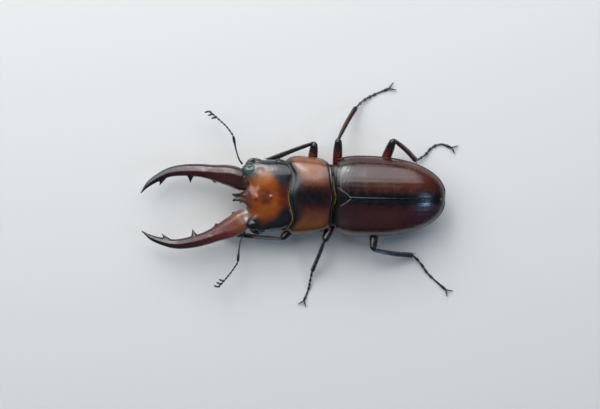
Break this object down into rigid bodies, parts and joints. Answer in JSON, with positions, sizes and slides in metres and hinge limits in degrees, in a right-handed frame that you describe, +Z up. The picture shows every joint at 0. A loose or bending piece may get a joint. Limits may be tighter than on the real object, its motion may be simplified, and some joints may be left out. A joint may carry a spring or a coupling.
{
  "type": "stag beetle",
  "caption": "Life-size still model of a long-jawed male stag beetle standing on its legs, with curved toothed jaws, a broad amber head and smooth dark maroon wing cases.",
  "frame": {"origin": "middle of the beetle's bounding box, on the floor that its feet stand on", "axes": "+Y towards the tail and -Y towards the jaws, +X towards the animal's own left side, +Z up from the floor"},
  "size_m": [0.0536, 0.0742, 0.0123],
  "materials": {
    "amber": "polished amber brown chitin, dark towards the temples",
    "pronotum": "polished chestnut chitin with a black middle band",
    "jaw": "polished dark red-brown chitin, black at the tips and teeth",
    "elytron": "glossy dark maroon chitin with a black seam band",
    "underside": "satin dark brown chitin",
    "black": "satin black chitin",
    "thigh": "glossy deep red chitin",
    "eye": "glassy black"
  },
  "bodies": {
    "root": {"head": "amber", "eye_right": "eye", "mandible_right": "jaw", "antenna_scape_right": "black", "antenna_club_right": "black", "maxillary_palp_right": "black", "labial_palp_right": "black", "eye_left": "eye", "mandible_left": "jaw", "antenna_scape_left": "black", "antenna_club_left": "black", "maxillary_palp_left": "black", "labial_palp_left": "black", "pronotum": "pronotum", "prosternum": "underside", "mesothorax": "black", "scutellum": "black", "elytron_right": "elytron", "elytron_left": "elytron", "metathorax": "underside", "abdomen": "underside", "coxa_front_right": "underside", "femur_front_right": "thigh", "tibia_front_right": "black", "tarsus_front_right": "black", "coxa_front_left": "underside", "femur_front_left": "thigh", "tibia_front_left": "black", "tarsus_front_left": "black", "coxa_middle_right": "underside", "femur_middle_right": "thigh", "tibia_middle_right": "black", "tarsus_middle_right": "black", "coxa_middle_left": "underside", "femur_middle_left": "thigh", "tibia_middle_left": "black", "tarsus_middle_left": "black", "coxa_hind_right": "underside", "femur_hind_right": "thigh", "tibia_hind_right": "black", "tarsus_hind_right": "black", "coxa_hind_left": "underside", "femur_hind_left": "thigh", "tibia_hind_left": "black", "tarsus_hind_left": "black"}
  },
  "joints": []
}
